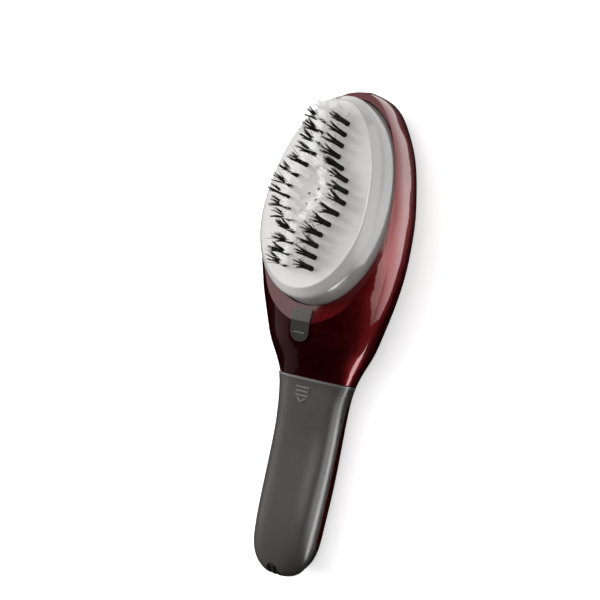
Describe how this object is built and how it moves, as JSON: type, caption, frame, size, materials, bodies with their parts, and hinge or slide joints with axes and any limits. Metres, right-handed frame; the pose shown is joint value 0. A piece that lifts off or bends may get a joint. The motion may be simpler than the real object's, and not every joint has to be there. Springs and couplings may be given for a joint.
{
  "type": "garment steamer",
  "caption": "Handheld steam brush: egg-shaped bristle head in a curved red housing with a slide-off grey water tank as the front of its handle.",
  "frame": {"origin": "centre of the flat on the head's back, where the steamer lies on a table with its bristles up", "axes": "+Z away from the table, +Y along the body towards the head's tip, +X to the right when looking at the bristles with the tip away from the user"},
  "size_m": [0.0911, 0.2867, 0.0819],
  "materials": {
    "red_shell": "high-gloss moulded, dark metallic red",
    "white_shell": "semi-gloss moulded, cool white",
    "grey_trim": "satin moulded",
    "grey_tank": "satin moulded, warm grey",
    "dark_plastic": "heat-resistant moulded",
    "white_plastic": "moulded",
    "dark_rubber": "soft moulded",
    "silicone": "translucent silicone",
    "steel": "plated",
    "cast_aluminium": "as cast",
    "ceramic_body": "matt glazed",
    "black_bristle": "nylon filament",
    "clear_bristle": "translucent nylon filament",
    "amber_lens": "clear moulded",
    "board_green": "solder-resist coated"
  },
  "bodies": {
    "housing": {"front_housing": "red_shell", "rear_housing": "red_shell", "end_cap": "grey_trim", "cord_gland": "dark_rubber", "handle_deck": "dark_plastic", "housing_screws": "steel", "heating_element": "steel", "steam_boiler": "cast_aluminium", "boiler_gasket": "silicone", "boiler_lid": "cast_aluminium", "boiler_bracket": "steel", "boiler_screws": "steel", "thermostat": "ceramic_body", "thermal_fuse": "steel", "steam_plate": "dark_plastic", "plate_gasket": "silicone", "tank_socket": "dark_rubber", "pump_body": "white_plastic", "inlet_hose": "silicone", "feed_hose": "silicone", "trigger_pin": "steel", "switch_module": "dark_plastic", "indicator_lens": "amber_lens", "circuit_board": "board_green", "terminal_block": "white_plastic"},
    "brush_head": {"brush_cover": "white_shell", "brush_base": "dark_plastic", "brush_seal": "silicone", "bristle_tufts": "black_bristle", "outer_tufts": "black_bristle", "soft_tufts": "clear_bristle"},
    "release": {"release_button": "grey_trim", "latch_slider": "dark_plastic", "release_spring": "steel"},
    "tank": {"water_tank": "grey_tank", "tank_outlet": "dark_plastic", "outlet_ring": "silicone"},
    "plug": {"filler_plug": "dark_rubber"},
    "trigger": {"steam_trigger": "grey_trim"},
    "piston": {"pump_piston": "white_plastic", "piston_ring": "silicone", "pump_spring": "steel"},
    "power": {"power_slider": "grey_trim"}
  },
  "joints": [
    {"name": "brush_lift", "type": "slide", "parent": "housing", "child": "brush_head", "axis": [0, 0.0872, 0.9962], "range_m": [0, 0.04]},
    {"name": "release_slide", "type": "slide", "parent": "housing", "child": "release", "axis": [0, -0.9962, 0.0872], "range_m": [0, 0.003], "stiffness_N_per_m": 300, "springref_m": -0.002, "deforming": ["release_spring"]},
    {"name": "tank_slide", "type": "slide", "parent": "housing", "child": "tank", "axis": [0, -1, 0], "range_m": [0, 0.13]},
    {"name": "plug_pull", "type": "slide", "parent": "tank", "child": "plug", "axis": [0, -1, 0], "range_m": [0, 0.02]},
    {"name": "trigger_press", "type": "hinge", "parent": "housing", "child": "trigger", "pos_m": [0, -0.071, 0.01], "axis": [-1, 0, 0], "range_deg": [0, 8], "stiffness_Nm_per_rad": 0.25, "springref_deg": -17.19},
    {"name": "piston_stroke", "type": "slide", "parent": "housing", "child": "piston", "axis": [0, 0, 1], "range_m": [0, 0.0027], "deforming": ["pump_spring"]},
    {"name": "power_slide", "type": "slide", "parent": "housing", "child": "power", "axis": [0, 1, 0], "range_m": [0, 0.004]}
  ],
  "couplings": [
    {"joint": "piston_stroke", "follows": "trigger_press", "m_per_rad": 0.019}
  ]
}
